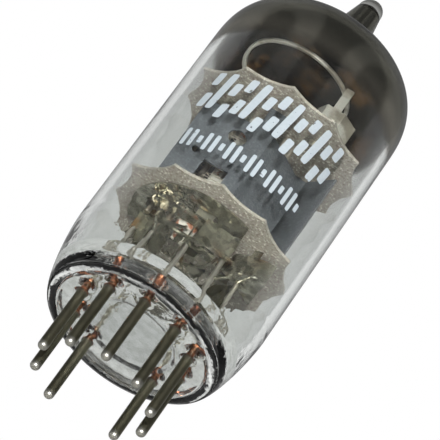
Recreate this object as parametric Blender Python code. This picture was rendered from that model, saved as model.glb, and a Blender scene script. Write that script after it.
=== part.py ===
"""Nine-pin miniature glass vacuum tube, a triode and a pentode in one bulb.

Run with: blender --background --python part.py
Lengths below are millimetres, +Z runs from the pin tips to the exhaust tip, and
the gap in the pin circle faces +Y. MM turns them into Blender's metres.
"""
import math

import bmesh
import bpy
from mathutils import Vector

MM = 0.001

# Fits between pieces that touch on the real tube
fit = 0.02
weld_gap = 0.05
cut_margin = 1.0

# Pins and their leads
pin_count = 9
skirt_pin = 7
pin_pitch = 36.0
pin_first_angle = 126.0
pin_circle_radius = 5.945
pin_radius = 0.508
pin_tip_round = 0.42
seal_radius = 0.36
lead_radius = 0.25
lead_lean = 0.55
seal_inset = 0.45
seal_rise = 0.7
seal_step = 0.1

# Glass base, a pressed button
base_radius = 7.9
base_bottom = 7.3
base_thickness = 2.3
base_edge_round = 0.35
base_dish_radius = 4.7
base_dish_depth = 0.22
base_dish_slope = 0.3
bead_radius = 1.0
bead_neck = 0.64
bead_inset = 0.2
bead_drop = 0.38
bead_rise = 1.0

# Glass bulb
bulb_radius = 10.3
bulb_wall = 0.85
rim_radius = 8.85
shoulder_height = 7.3
shoulder_power = 1.45
cylinder_length = 25.4
dome_height = 7.2
dome_power = 2.9
mouth_lip = 0.2
tip_length = 8.0
tip_root_radius = 2.4
tip_radius = 1.3
tip_fillet = 1.0
tip_lean = 0.55
tip_hollow_root = 1.2
tip_hollow_radius = 0.65
tip_hollow_length = 7.3

# Mica spacers
mica_thickness = 0.3
mica_clearance = 0.06
mica_tooth_depth = 0.8
mica_teeth = 12
lower_mica_bottom = 19.95
mica_spacing = 13.4
slot_clearance = 0.06

# Sheet metal
sheet = 0.2
strap_sheet = 0.12
weld_length = 0.6
anode_gap = 0.35
tab_length = 1.0

# Pentode: its centre in plan, then each electrode's half widths
pentode_x = -1.5
pentode_y = -1.75
pentode_left = 4.7
pentode_front = 2.9
pentode_back = 3.1
pentode_skew = 0.6
pentode_corner = 2.1
pentode_right = 6.4
pentode_anode_height = 10.4
pentode_tab_width = 1.7
pentode_tab_offset = 1.2
pentode_wing = 1.2
pentode_wing_back = 1.3
anode_hole_radius = 0.89
anode_hole_drop = 2.25
anode_hole_x = -0.6
window_width = 2.5
window_sill = 0.9
window_height = 3.2
window_x = -0.65
rivet_hole_radius = 0.38
rivet_hole_x = -3.1
rivet_hole_rise = 4.6

# Triode: its centre in plan and its electrodes' half widths
triode_x = 0.9
triode_y = 5.35
triode_half_width = 3.1
triode_half_depth = 1.95
triode_chamfer = 1.3
triode_anode_height = 11.0
triode_tab_width = 1.5
triode_anode_lift = 0.25

# Grids: half distance between the rods, half depth of the winding, turns
grid_rod_radius = 0.3
grid_wire_radius = 0.05
grid_rod_overhang = 1.5
grid_margin = 1.6
control_half = 1.75
control_depth = 0.85
control_turns = 8
screen_half = 2.8
screen_depth = 1.4
screen_turns = 7
suppressor_half = 3.8
suppressor_depth = 2.05
suppressor_turns = 5
triode_grid_half = 1.75
triode_grid_depth = 0.85
triode_grid_turns = 8

# Cathode sleeves and the heaters inside them
sleeve_wall = 0.12
pentode_sleeve_half = 1.05
pentode_sleeve_depth = 0.5
triode_sleeve_radius = 0.62
sleeve_overhang = 0.9
heater_radius = 0.17
pentode_heater_half = 0.5
triode_heater_half = 0.26
heater_leg_drop = 2.4
heater_top_gap = 1.2

# Screen between the two sections
screen_left = -7.4
screen_y = 2.15
screen_bend_x = 4.9
screen_wing_x = 7.3
screen_wing_y = -0.9
screen_tab_width = 1.3
screen_tab_left = -5.6
screen_tab_right = 3.7

# Skirt, a folded plate that hangs below the lower mica: the ends of its wall and
# the far corner of its flange, in plan
skirt_left = (3.7, -2.4)
skirt_right = (7.5, -4.15)
skirt_corner = (7.1, 0.2)
skirt_bow = 0.35
skirt_height = 2.2
skirt_drop = 0.75
skirt_tab_share = 0.1
skirt_tab_thickness = 0.12

# Flat screen under the lower mica
apron_radius = 7.5
apron_gap = 0.35
apron_thickness = 0.15
apron_back_gap = 0.8
apron_right = 3.1
apron_end_angle = 300.0
apron_hole_clearance = 0.35

# Getter
getter_radius = 5.6
getter_x = -1.2
getter_y = -0.3
getter_height = 6.8
getter_width = 0.4
getter_depth = 0.32
getter_wall = 0.1
getter_post_angle = -37.0
post_width = 0.8
post_reach = 0.5
post_foot = 0.5
clip_height = 2.2
clip_lift = 1.9
clip_left = 1.5
clip_right = 2.3
clip_flat = 0.9

# Straps from the leads: how far a lead runs up beside its strap
weld_overlap = 0.8

# Facets
bulb_steps = 32
base_steps = 32
round_sides = 10
ring_steps = 32
arc_steps = 7

# Heights that follow from the sizes above
base_top = base_bottom + base_thickness
mouth_bottom = base_bottom + mouth_lip
shoulder_top = mouth_bottom + shoulder_height
cylinder_top = shoulder_top + cylinder_length
dome_top = cylinder_top + dome_height
bulb_top = dome_top + tip_length
inner_radius = bulb_radius - bulb_wall
mica_radius = inner_radius - mica_clearance
lower_mica_top = lower_mica_bottom + mica_thickness
upper_mica_bottom = lower_mica_top + mica_spacing
upper_mica_top = upper_mica_bottom + mica_thickness
anode_bottom = lower_mica_top + anode_gap
rod_bottom = lower_mica_bottom - grid_rod_overhang
rod_top = upper_mica_top + grid_rod_overhang * 0.5
tab_bottom = lower_mica_bottom - tab_length
tab_top = upper_mica_top + tab_length
apron_top = lower_mica_bottom - apron_gap
skirt_top = lower_mica_bottom - skirt_drop
skirt_bottom = skirt_top - skirt_height
pentode_tab_x = pentode_x + pentode_tab_offset


def clear_scene():
    for thing in list(bpy.data.objects):
        bpy.data.objects.remove(thing, do_unlink=True)


def finish(name, colour, roughness, metallic, transmission=0.0):
    """One Principled material with its colour, roughness and metallic value."""
    surface = bpy.data.materials.new(name)
    surface.use_nodes = True
    shader = surface.node_tree.nodes["Principled BSDF"]
    shader.inputs["Base Color"].default_value = (*colour, 1.0)
    shader.inputs["Roughness"].default_value = roughness
    shader.inputs["Metallic"].default_value = metallic
    shader.inputs["Transmission Weight"].default_value = transmission
    return surface


def place(name, shape, surface):
    """Turn a bmesh into a named object with smooth round faces."""
    bmesh.ops.recalc_face_normals(shape, faces=shape.faces)
    mesh = bpy.data.meshes.new(name)
    shape.to_mesh(mesh)
    shape.free()
    thing = bpy.data.objects.new(name, mesh)
    bpy.context.collection.objects.link(thing)
    if surface:
        mesh.materials.append(surface)
    mesh.shade_smooth()
    mesh.set_sharp_from_angle(angle=math.radians(35))
    return thing


def cutter(name, shape):
    """A shape that only cuts or joins, and isn't a piece of the tube."""
    thing = place(name, shape, None)
    thing.hide_render = True
    thing.display_type = "WIRE"
    return thing


def combine(thing, other, operation, overlapping=False):
    step = thing.modifiers.new(other.name, "BOOLEAN")
    step.operation = operation
    step.solver = "EXACT"
    step.object = other
    step.use_self = overlapping


def point(x, y, z):
    return Vector((x * MM, y * MM, z * MM))


def polar(radius, degrees):
    turn = math.radians(degrees)
    return radius * math.cos(turn), radius * math.sin(turn)


def turned(name, profile, steps, surface):
    """Turn a profile of (radius, height) about Z with the Screw modifier."""
    shape = bmesh.new()
    corners = [shape.verts.new(point(r, 0.0, z)) for r, z in profile]
    for start, end in zip(corners, corners[1:]):
        shape.edges.new((start, end))
    mesh = bpy.data.meshes.new(name)
    shape.to_mesh(mesh)
    shape.free()
    thing = bpy.data.objects.new(name, mesh)
    bpy.context.collection.objects.link(thing)
    mesh.materials.append(surface)
    screw = thing.modifiers.new("turn", "SCREW")
    screw.axis = "Z"
    screw.angle = math.tau
    screw.steps = steps
    screw.render_steps = steps
    screw.use_merge_vertices = True
    screw.merge_threshold = 0.000001
    screw.use_smooth_shade = True
    return thing


def lofted(name, stations, steps, surface):
    """Join rings of (radius, height, centre x); a radius of 0 is a single point."""
    shape = bmesh.new()
    rings = []
    for radius, height, centre in stations:
        turns = [math.tau * k / steps for k in range(steps)] if radius else [0.0]
        rings.append([
            shape.verts.new(point(centre + radius * math.cos(t), radius * math.sin(t), height))
            for t in turns
        ])
    for near, far in zip(rings, rings[1:]):
        for k in range(steps):
            j = (k + 1) % steps
            corners = [near[k % len(near)], near[j % len(near)], far[j % len(far)], far[k % len(far)]]
            shape.faces.new(list(dict.fromkeys(corners)))
    return place(name, shape, surface)


def add_prism(shape, outline, low, high):
    """Add an outline of (x, y) points, extruded from low to high."""
    bottom = [shape.verts.new(point(x, y, low)) for x, y in outline]
    top = [shape.verts.new(point(x, y, high)) for x, y in outline]
    shape.faces.new(bottom[::-1])
    shape.faces.new(top)
    for i in range(len(outline)):
        j = (i + 1) % len(outline)
        shape.faces.new((bottom[i], bottom[j], top[j], top[i]))


def add_ring_prism(shape, outer, inner, low, high):
    """Add a tube whose outer and inner outlines have as many points."""
    rings = []
    for outline, height in ((outer, low), (outer, high), (inner, high), (inner, low)):
        rings.append([shape.verts.new(point(x, y, height)) for x, y in outline])
    for k in range(4):
        near, far = rings[k], rings[(k + 1) % 4]
        for i in range(len(outer)):
            j = (i + 1) % len(outer)
            shape.faces.new((near[i], near[j], far[j], far[i]))


def box_outline(left, right, front, back):
    return [(left, front), (right, front), (right, back), (left, back)]


def oval(x, y, half_width, half_depth, sides):
    turns = [math.tau * (i + 0.5) / sides for i in range(sides)]
    return [(x + half_width * math.cos(t), y + half_depth * math.sin(t)) for t in turns]


def offset_path(path, distance, closed):
    """Move a plan path sideways to its left, with mitred corners."""
    moved = []
    count = len(path)
    for i, corner in enumerate(path):
        here = Vector(corner)
        before = Vector(path[i - 1]) if closed or i > 0 else None
        after = Vector(path[(i + 1) % count]) if closed or i < count - 1 else None
        ahead = (after - here).normalized() if after else (here - before).normalized()
        behind = (here - before).normalized() if before else ahead
        normal_a = Vector((-behind.y, behind.x))
        normal_b = Vector((-ahead.y, ahead.x))
        mitre = (normal_a + normal_b).normalized()
        reach = distance / mitre.dot(normal_b)
        moved.append(tuple(here + mitre * reach))
    return moved


def add_wall(shape, path, thickness, low, high, closed=False):
    """Add sheet metal that stands along a plan path, centred on it."""
    left = offset_path(path, thickness / 2, closed)
    right = offset_path(path, -thickness / 2, closed)
    if closed:
        add_ring_prism(shape, right, left, low, high)
    else:
        add_prism(shape, right + left[::-1], low, high)


def add_sweep(shape, path, radii, sides, level=False):
    """Add a round bar along (x, y, z) points, with a radius at each point.

    A level bar keeps one edge on top, so that it doesn't twist.
    """
    places = [Vector(p) for p in path]
    rings = []
    side = None
    for i, here in enumerate(places):
        before = places[max(i - 1, 0)]
        after = places[min(i + 1, len(places) - 1)]
        along = (after - before).normalized()
        if level:
            side = Vector((0.0, 0.0, 1.0))
        elif side is None:
            side = along.orthogonal().normalized()
        side = (side - along * side.dot(along)).normalized()
        across = along.cross(side)
        ring = []
        for k in range(sides):
            turn = math.tau * k / sides
            spot = here + radii[i] * (side * math.cos(turn) + across * math.sin(turn))
            ring.append(shape.verts.new(point(*spot)))
        rings.append(ring)
    for near, far in zip(rings, rings[1:]):
        for k in range(sides):
            j = (k + 1) % sides
            shape.faces.new((near[k], near[j], far[j], far[k]))
    shape.faces.new(rings[0][::-1])
    shape.faces.new(rings[-1])


def pin_angle(number):
    return pin_first_angle + pin_pitch * (number - 1)


def lead_at(number, height):
    """Plan place of a pin's inner lead, which leans in above the base."""
    span = lower_mica_bottom - base_top
    share = max(0.0, height - base_top - seal_rise) / span
    return polar(pin_circle_radius - lead_lean * share, pin_angle(number))


def lead_top(number):
    """A lead ends against the skirt above it, or runs up beside its own strap."""
    if number == skirt_pin:
        return skirt_bottom - weld_gap
    low = next(strap[2] for strap in strap_routes().values() if strap[0] == number)
    return low + weld_overlap


def pin_path(number, extra):
    """Centre line and radii of a pin: its outer part, its seal and its lead."""
    seal_start = base_bottom + seal_inset
    seal_end = base_top + seal_rise
    stations = [
        (0.0, pin_radius * 0.45), (pin_tip_round * 0.3, pin_radius * 0.82),
        (pin_tip_round, pin_radius), (seal_start, pin_radius),
        (seal_start + seal_step, seal_radius), (seal_end, seal_radius),
        (seal_end + seal_step, lead_radius), (lead_top(number), lead_radius),
    ]
    path = [(*lead_at(number, z), z) for z, _ in stations]
    return path, [radius + extra for _, radius in stations]


def pentode_rods():
    """Plan place of each pentode grid rod."""
    halves = (control_half, screen_half, suppressor_half)
    return [(pentode_x + side * half, pentode_y) for half in halves for side in (-1, 1)]


def triode_rods():
    return [(triode_x + side * triode_grid_half, triode_y) for side in (-1, 1)]


def pentode_anode_path():
    """Plan outline of the pentode anode, one blank folded into a five-sided box."""
    left = pentode_x - pentode_left
    front = pentode_y - pentode_front
    back = pentode_y + pentode_back
    corner = pentode_x + pentode_corner
    right = pentode_x + pentode_right
    return [
        (left, back), (left, front), (corner, front - pentode_skew * 0.5),
        (right, pentode_y + pentode_wing), (right - pentode_wing_back, back),
    ]


def triode_anode_path():
    """Plan outline of the triode anode, a box with slanted corners."""
    w, d, c = triode_half_width, triode_half_depth, triode_chamfer
    corners = [(-w, -d + c), (-w + c, -d), (w - c, -d), (w, -d + c),
               (w, d - c), (w - c, d), (-w + c, d), (-w, d - c)]
    return [(triode_x + x, triode_y + y) for x, y in corners]


def tab_slots():
    """Slots in the micas for the tabs of the anodes and of the screen."""
    slots = []
    half = pentode_tab_width / 2
    front = pentode_y - pentode_front
    for y in (front - pentode_skew * 0.25, pentode_y + pentode_back):
        slots.append((pentode_tab_x - half, pentode_tab_x + half, y, pentode_skew * 0.5))
    half = triode_tab_width / 2
    for y in (triode_y - triode_half_depth, triode_y + triode_half_depth):
        slots.append((triode_x - half, triode_x + half, y, 0.0))
    half = screen_tab_width / 2
    for x in (screen_tab_left, screen_tab_right):
        slots.append((x - half, x + half, screen_y, 0.0))
    return slots


def add_electrode_holes(shape, low, high, clearance):
    """Add cutters where rods, sleeves and tabs pass through a plate."""
    for x, y in pentode_rods() + triode_rods():
        reach = grid_rod_radius + clearance
        add_prism(shape, oval(x, y, reach, reach, round_sides), low, high)
    width = pentode_sleeve_half + clearance
    depth = pentode_sleeve_depth + clearance
    add_prism(shape, oval(pentode_x, pentode_y, width, depth, round_sides), low, high)
    reach = triode_sleeve_radius + clearance
    add_prism(shape, oval(triode_x, triode_y, reach, reach, round_sides), low, high)
    for left, right, y, skew in tab_slots():
        reach = sheet / 2 + clearance + skew / 2
        outline = box_outline(left - clearance, right + clearance, y - reach, y + reach)
        add_prism(shape, outline, low, high)


def toothed_outline():
    """Mica edge: short teeth that touch the glass, hollow arcs between them."""
    outline = []
    for i in range(mica_teeth):
        start = 360.0 * i / mica_teeth
        width = 360.0 / mica_teeth
        outline.append(polar(mica_radius, start))
        for share in (0.12, 0.3, 0.5, 0.7, 0.88):
            dip = mica_tooth_depth * (1.0 - abs(2.0 * share - 1.0) ** 2.2)
            outline.append(polar(mica_radius - dip, start + width * share))
    return outline


def build_mica(name, low, surface):
    shape = bmesh.new()
    add_prism(shape, toothed_outline(), low, low + mica_thickness)
    mica = place(name, shape, surface)
    holes = bmesh.new()
    below = low - cut_margin
    above = low + mica_thickness + cut_margin
    add_electrode_holes(holes, below, above, slot_clearance)
    if low > lower_mica_bottom:
        x, y = getter_post_plan()
        reach = post_width / 2 + slot_clearance
        depth = sheet / 2 + slot_clearance
        add_prism(holes, box_outline(x - reach, x + reach, y - depth, y + depth), below, above)
    else:
        add_wall(holes, skirt_tab_path(slot_clearance), sheet + 2 * slot_clearance, below, above)
    combine(mica, cutter(name + "_holes", holes), "DIFFERENCE")
    return mica


def dome_ring(radius, height, turn):
    """A ring on a dome whose section is a superellipse, at this turn from its top."""
    r = radius * math.sin(turn) ** (2.0 / dome_power)
    return r, cylinder_top + height * math.cos(turn) ** (2.0 / dome_power)


def shoulder_ring(radius, neck, turn):
    """A ring on the shoulder, between the cylinder and the narrower neck."""
    r = neck + (radius - neck) * math.cos(turn) ** (2.0 / shoulder_power)
    return r, shoulder_top - shoulder_height * math.sin(turn) ** (2.0 / shoulder_power)


def tip_rings():
    """Rings of the exhaust tip, from its round end down to where it flares into the dome."""
    rings = [(0.0, bulb_top)]
    end = bulb_top - tip_radius
    for degrees in (25, 50, 75):
        turn = math.radians(degrees)
        rings.append((tip_radius * math.sin(turn), end + tip_radius * math.cos(turn)))
    low = dome_top + tip_fillet
    for share in (0.0, 0.5, 1.0):
        radius = tip_radius + (tip_root_radius - tip_radius) * share
        rings.append((radius, end + (low - end) * share))
    rings.append((tip_root_radius + tip_fillet * 0.3, dome_top + tip_fillet * 0.3))
    return rings


def build_bulb(surface):
    """Blown bulb: outer side from the tip down, the rim, then the inner side up."""
    turns = [math.radians(a) for a in (9, 20, 32, 45, 58, 70, 80)]
    bends = [math.radians(a) for a in (0.001, 18, 34, 50, 66, 80)]
    rings = tip_rings()
    outer = [dome_ring(bulb_radius, dome_height, turn) for turn in turns]
    rings += [ring for ring in outer if ring[0] > tip_root_radius + tip_fillet]
    rings += [(bulb_radius, cylinder_top)]
    rings += [shoulder_ring(bulb_radius, rim_radius, turn) for turn in bends]
    mouth = base_radius + fit
    lip_low = base_bottom + fit
    rings += [(rim_radius, mouth_bottom + mouth_lip), (rim_radius - mouth_lip, lip_low),
              (mouth + mouth_lip, lip_low), (mouth, mouth_bottom), (mouth, base_top + mouth_lip)]
    neck = rim_radius - bulb_wall
    inner = [shoulder_ring(inner_radius, neck, turn) for turn in bends[::-1]]
    rings += [ring for ring in inner if ring[1] > base_top + 2 * mouth_lip]
    rings += [(inner_radius, cylinder_top)]
    inner = [dome_ring(inner_radius, dome_height - bulb_wall, turn) for turn in turns[::-1]]
    rings += [ring for ring in inner if ring[0] > tip_hollow_root * 1.5]
    inner_top = dome_top - bulb_wall
    hollow = ((tip_hollow_root, 0.08), (tip_hollow_radius, 0.8), (tip_hollow_radius * 0.8, 0.93),
              (0.0, 1.0))
    rings += [(radius, inner_top + tip_hollow_length * share) for radius, share in hollow]
    lean = tip_lean / tip_length
    stations = [(r, z, lean * max(0.0, z - dome_top)) for r, z in rings]
    return lofted("glass_bulb", stations, bulb_steps, surface)


def build_base(surface):
    """Pressed glass button with a bead at each pin on both its faces."""
    edge = base_edge_round
    dish = base_bottom + base_dish_depth
    profile = [
        (0.0, base_top), (base_radius - edge, base_top), (base_radius, base_top - edge),
        (base_radius, base_bottom + edge), (base_radius - edge, base_bottom),
        (base_dish_radius, base_bottom), (base_dish_radius - base_dish_slope, dish), (0.0, dish),
    ]
    base = turned("glass_base", profile, base_steps, surface)
    beads = bmesh.new()
    holes = bmesh.new()
    heights = (base_bottom - bead_drop, base_bottom + bead_inset, base_top - bead_inset,
               base_top + bead_rise)
    radii = (bead_neck, bead_radius, bead_radius, seal_radius * 1.5)
    for number in range(1, pin_count + 1):
        x, y = polar(pin_circle_radius, pin_angle(number))
        add_sweep(beads, [(x, y, z) for z in heights], radii, round_sides)
        add_sweep(holes, *pin_path(number, fit), round_sides)
    combine(base, cutter("bead_joiner", beads), "UNION")
    combine(base, cutter("pin_holes", holes), "DIFFERENCE")
    return base


def build_pins(surface):
    for number in range(1, pin_count + 1):
        shape = bmesh.new()
        add_sweep(shape, *pin_path(number, 0.0), round_sides)
        place(f"pin_{number}", shape, surface)


def cut_to_tab(cuts, left, right, top, bottom):
    """Cut a tall wall down to its panel, leaving a tab above top and below bottom."""
    reach = bulb_radius * 2
    for low, high in ((top, tab_top + cut_margin), (tab_bottom - cut_margin, bottom)):
        add_prism(cuts, box_outline(-reach, left, -reach, reach), low, high)
        add_prism(cuts, box_outline(right, reach, -reach, reach), low, high)


def build_pentode_anode(surface):
    """Folded anode box with a round hole, a window and tabs into both micas."""
    shape = bmesh.new()
    add_wall(shape, pentode_anode_path(), sheet, tab_bottom, tab_top, closed=True)
    anode = place("pentode_anode", shape, surface)
    cuts = bmesh.new()
    top = anode_bottom + pentode_anode_height
    half = pentode_tab_width / 2
    cut_to_tab(cuts, pentode_tab_x - half, pentode_tab_x + half, top, anode_bottom)
    front = pentode_y - pentode_front
    outside = front - 2 * cut_margin
    inside = front + pentode_front / 2
    left = pentode_x + window_x - window_width / 2
    sill = anode_bottom + window_sill
    window = box_outline(left, left + window_width, outside, inside)
    add_prism(cuts, window, sill, sill + window_height)
    combine(anode, cutter("pentode_anode_cuts", cuts), "DIFFERENCE")
    bores = bmesh.new()
    large = (pentode_x + anode_hole_x, top - anode_hole_drop, anode_hole_radius, 16)
    small = (pentode_x + rivet_hole_x, anode_bottom + rivet_hole_rise, rivet_hole_radius, 10)
    for x, z, radius, sides in (large, small):
        add_sweep(bores, [(x, outside, z), (x, inside, z)], [radius, radius], sides)
    combine(anode, cutter("pentode_anode_bores", bores), "DIFFERENCE")
    return anode


def build_triode_anode(surface):
    shape = bmesh.new()
    add_wall(shape, triode_anode_path(), sheet, tab_bottom, tab_top, closed=True)
    anode = place("triode_anode", shape, surface)
    cuts = bmesh.new()
    half = triode_tab_width / 2
    bottom = anode_bottom + triode_anode_lift
    cut_to_tab(cuts, triode_x - half, triode_x + half, bottom + triode_anode_height, bottom)
    combine(anode, cutter("triode_anode_cuts", cuts), "DIFFERENCE")
    return anode


def build_screen(surface):
    """Flat screen between the sections, with a wing bent forward at its right."""
    path = [(screen_left, screen_y), (screen_bend_x, screen_y), (screen_wing_x, screen_wing_y)]
    shape = bmesh.new()
    add_wall(shape, path, sheet, tab_bottom, tab_top)
    screen = place("section_screen", shape, surface)
    cuts = bmesh.new()
    reach = bulb_radius * 2
    half = screen_tab_width / 2
    gaps = ((-reach, screen_tab_left - half), (screen_tab_left + half, screen_tab_right - half),
            (screen_tab_right + half, reach))
    low_edge = lower_mica_top + weld_gap
    high_edge = upper_mica_bottom - weld_gap
    for left, right in gaps:
        add_prism(cuts, box_outline(left, right, -reach, reach), tab_bottom - cut_margin, low_edge)
        add_prism(cuts, box_outline(left, right, -reach, reach), high_edge, tab_top + cut_margin)
    combine(screen, cutter("screen_cuts", cuts), "DIFFERENCE")
    return screen


def build_grid(name, centre, half, depth, turns, surface):
    """Two side rods with a wire wound round them and pressed into them.

    Each turn runs straight through the outer part of both rods, where the real
    wire lies in a notch, and bows out between them, while its height rises evenly.
    """
    x, y = centre
    shape = bmesh.new()
    notch = half + grid_rod_radius * 0.62
    bow = half * 0.55
    clear = grid_rod_radius * 1.5
    one_turn = [(notch, clear), (bow, depth), (-bow, depth), (-notch, clear),
                (-notch, -clear), (-bow, -depth), (bow, -depth), (notch, -clear)]
    plan = [(notch, 0.0)] + one_turn * turns + [(notch, 0.0)]
    low = lower_mica_top + grid_margin
    rise = (upper_mica_bottom - grid_margin - low) / (len(plan) - 1)
    path = [(x + px, y + py, low + rise * i) for i, (px, py) in enumerate(plan)]
    add_sweep(shape, path, [grid_wire_radius] * len(path), 4, level=True)
    grid = place(name, shape, surface)
    rods = bmesh.new()
    for side in (-1, 1):
        add_prism(rods, oval(x + side * half, y, grid_rod_radius, grid_rod_radius, 8), rod_bottom, rod_top)
    combine(grid, cutter(name + "_rods", rods), "UNION")
    return grid


def build_sleeve(name, centre, half, depth, surface):
    """Cathode sleeve: a thin oval tube, open at both ends."""
    x, y = centre
    shape = bmesh.new()
    outer = oval(x, y, half, depth, 14)
    inner = oval(x, y, half - sleeve_wall, depth - sleeve_wall, 14)
    add_ring_prism(shape, outer, inner, lower_mica_bottom - sleeve_overhang,
                   upper_mica_top + sleeve_overhang)
    return place(name, shape, surface)


def build_heater(name, centre, half, surface):
    """Hairpin heater: up one leg, over the top and down the other."""
    x, y = centre
    low = lower_mica_bottom - heater_leg_drop
    high = upper_mica_bottom - heater_top_gap
    path = [(x - half, y, low), (x - half, y, high)]
    for i in range(1, 6):
        turn = math.pi * i / 6
        path.append((x - half * math.cos(turn), y, high + half * math.sin(turn)))
    path += [(x + half, y, high), (x + half, y, low)]
    shape = bmesh.new()
    add_sweep(shape, path, [heater_radius] * len(path), 8)
    return place(name, shape, surface)


def skirt_path():
    """Plan path of the skirt's wall, bowed outwards between its ends."""
    start = Vector(skirt_left)
    end = Vector(skirt_right)
    along = end - start
    outwards = Vector((along.y, -along.x)).normalized()
    shares = [i / arc_steps for i in range(arc_steps + 1)]
    bows = [4.0 * skirt_bow * share * (1.0 - share) for share in shares]
    return [tuple(start + along * share + outwards * bow) for share, bow in zip(shares, bows)]


def skirt_tab_path(extra=0.0):
    """Plan path of the skirt's tab, a straight piece at the middle of its wall."""
    start = Vector(skirt_left)
    along = Vector(skirt_right) - start
    outwards = Vector((along.y, -along.x)).normalized()
    middle = start + along / 2 + outwards * skirt_bow
    half = along * skirt_tab_share + along.normalized() * extra
    return [tuple(middle - half), tuple(middle + half)]


def build_skirt(surface):
    """Folded plate: a bowed wall with a flange at its foot, hung from the mica by a tab."""
    shape = bmesh.new()
    ledge = skirt_bottom + sheet
    front = offset_path(skirt_path(), -sheet / 2, False)
    back = offset_path(skirt_path(), sheet / 2, False)
    low_front = [shape.verts.new(point(x, y, skirt_bottom)) for x, y in front]
    top_front = [shape.verts.new(point(x, y, skirt_top)) for x, y in front]
    top_back = [shape.verts.new(point(x, y, skirt_top)) for x, y in back]
    ledge_back = [shape.verts.new(point(x, y, ledge)) for x, y in back]
    first, last = [shape.verts.new(point(*back[end], skirt_bottom)) for end in (0, -1)]
    low_corner = shape.verts.new(point(*skirt_corner, skirt_bottom))
    top_corner = shape.verts.new(point(*skirt_corner, ledge))
    for low, high in ((low_front, top_front), (top_front, top_back), (top_back, ledge_back)):
        for i in range(len(front) - 1):
            shape.faces.new((low[i], low[i + 1], high[i + 1], high[i]))
    shape.faces.new(low_front + [last, low_corner, first])
    shape.faces.new(ledge_back + [top_corner])
    for end, foot in ((0, first), (-1, last)):
        shape.faces.new((low_front[end], top_front[end], top_back[end], ledge_back[end], foot))
        shape.faces.new((foot, ledge_back[end], top_corner, low_corner))
    skirt = place("lower_skirt", shape, surface)
    tab = bmesh.new()
    tab_end = lower_mica_top + tab_length / 2
    add_wall(tab, skirt_tab_path(), skirt_tab_thickness, skirt_top - weld_length, tab_end)
    combine(skirt, cutter("skirt_tab", tab), "UNION")
    return skirt


def build_apron(surface):
    """Flat screen under the lower mica, round at the front, pierced for the electrodes."""
    shape = bmesh.new()
    back = screen_y - apron_back_gap
    start = 180.0 - math.degrees(math.asin(back / apron_radius))
    steps = arc_steps * 2
    span = apron_end_angle - start
    outline = [polar(apron_radius, start + span * i / steps) for i in range(steps + 1)]
    outline.append((apron_right, back))
    add_prism(shape, outline, apron_top - apron_thickness, apron_top)
    apron = place("lower_screen", shape, surface)
    holes = bmesh.new()
    below = apron_top - apron_thickness - cut_margin
    add_electrode_holes(holes, below, apron_top + cut_margin, apron_hole_clearance)
    combine(apron, cutter("lower_screen_holes", holes), "DIFFERENCE", overlapping=True)
    return apron


def getter_post_plan():
    """Plan place where the getter's post stands in the upper mica."""
    x, y = polar(getter_radius + getter_width / 2 + post_reach, getter_post_angle)
    return getter_x + x, getter_y + y


def build_getter_ring(surface):
    """Getter ring: a channel, open above, bent into a circle."""
    bottom = upper_mica_top + getter_height
    half = getter_width / 2
    wall = getter_wall
    section = [
        (-half, 0), (-half, getter_depth), (-half + wall, getter_depth), (-half + wall, wall),
        (half - wall, wall), (half - wall, getter_depth), (half, getter_depth), (half, 0),
    ]
    shape = bmesh.new()
    rings = []
    for i in range(ring_steps):
        ring = []
        for r, z in section:
            x, y = polar(getter_radius + r, 360.0 * i / ring_steps)
            ring.append(shape.verts.new(point(getter_x + x, getter_y + y, bottom + z)))
        rings.append(ring)
    for i in range(ring_steps):
        near, far = rings[i], rings[(i + 1) % ring_steps]
        for k in range(len(section)):
            j = (k + 1) % len(section)
            shape.faces.new((near[k], near[j], far[j], far[k]))
    return place("getter_ring", shape, surface)


def build_getter_post(surface):
    """Strip that stands in the upper mica, its top beside the ring."""
    x, y = getter_post_plan()
    half = post_width / 2
    outline = box_outline(x - half, x + half, y - sheet / 2, y + sheet / 2)
    shape = bmesh.new()
    top = upper_mica_top + getter_height + getter_depth
    add_prism(shape, outline, upper_mica_bottom - post_foot, top)
    return place("getter_post", shape, surface)


def build_getter_clip(surface):
    """Folded strip across the front of the post, its ends bent back."""
    x, y = getter_post_plan()
    front = y - sheet - weld_gap
    path = [(x - clip_left, y + clip_flat), (x - clip_flat, front), (x + clip_flat, front),
            (x + clip_right, y + clip_flat)]
    low = upper_mica_top + clip_lift
    shape = bmesh.new()
    add_wall(shape, path, sheet, low, low + clip_height)
    return place("getter_clip", shape, surface)


def strap_routes():
    """Each strap's pin, the plan points it passes, and its lowest and highest height."""
    rods = pentode_rods()
    beside = grid_rod_radius + strap_sheet / 2 + weld_gap
    anode_front = pentode_y - pentode_front - pentode_skew / 2
    heater_side = pentode_heater_half + heater_radius + strap_sheet
    anode_back = triode_y + triode_half_depth - sheet - weld_gap
    first, second, last = rods[0], rods[2], rods[5]
    routes = {
        "triode_anode_strap": (1, [(-1.6, triode_y + 1.55), (triode_x, anode_back)], 1.0, 2.2),
        "control_grid_strap": (2, [(first[0] - beside, first[1] + 0.9),
                                   (first[0] - beside, first[1] - 0.3)], 1.5, 1.7),
        "screen_grid_strap": (3, [(second[0], second[1] + beside)], 1.3, 3.2),
        "heater_strap_left": (4, [(pentode_x - heater_side, pentode_y - 0.3)], 2.2, 3.6),
        "heater_strap_right": (5, [(pentode_x + heater_side, pentode_y - 0.3)], 2.2, 3.6),
        "pentode_anode_strap": (6, [(pentode_tab_x + 0.4, anode_front - 0.35)], 1.0, 2.6),
        "suppressor_strap": (None, [(last[0] + beside, last[1] - 0.2)], 1.1, 1.5),
        "triode_cathode_strap": (8, [(triode_x + triode_sleeve_radius, triode_y - 0.75)], 1.1, 3.5),
        "triode_grid_strap": (9, [(triode_x + triode_grid_half + 0.1, triode_y - beside)], 1.2, 2.4),
    }
    heights = {}
    for name, (number, route, drop, height) in routes.items():
        top = lower_mica_bottom - drop
        heights[name] = (number, route, top - height, top)
    return heights


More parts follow.
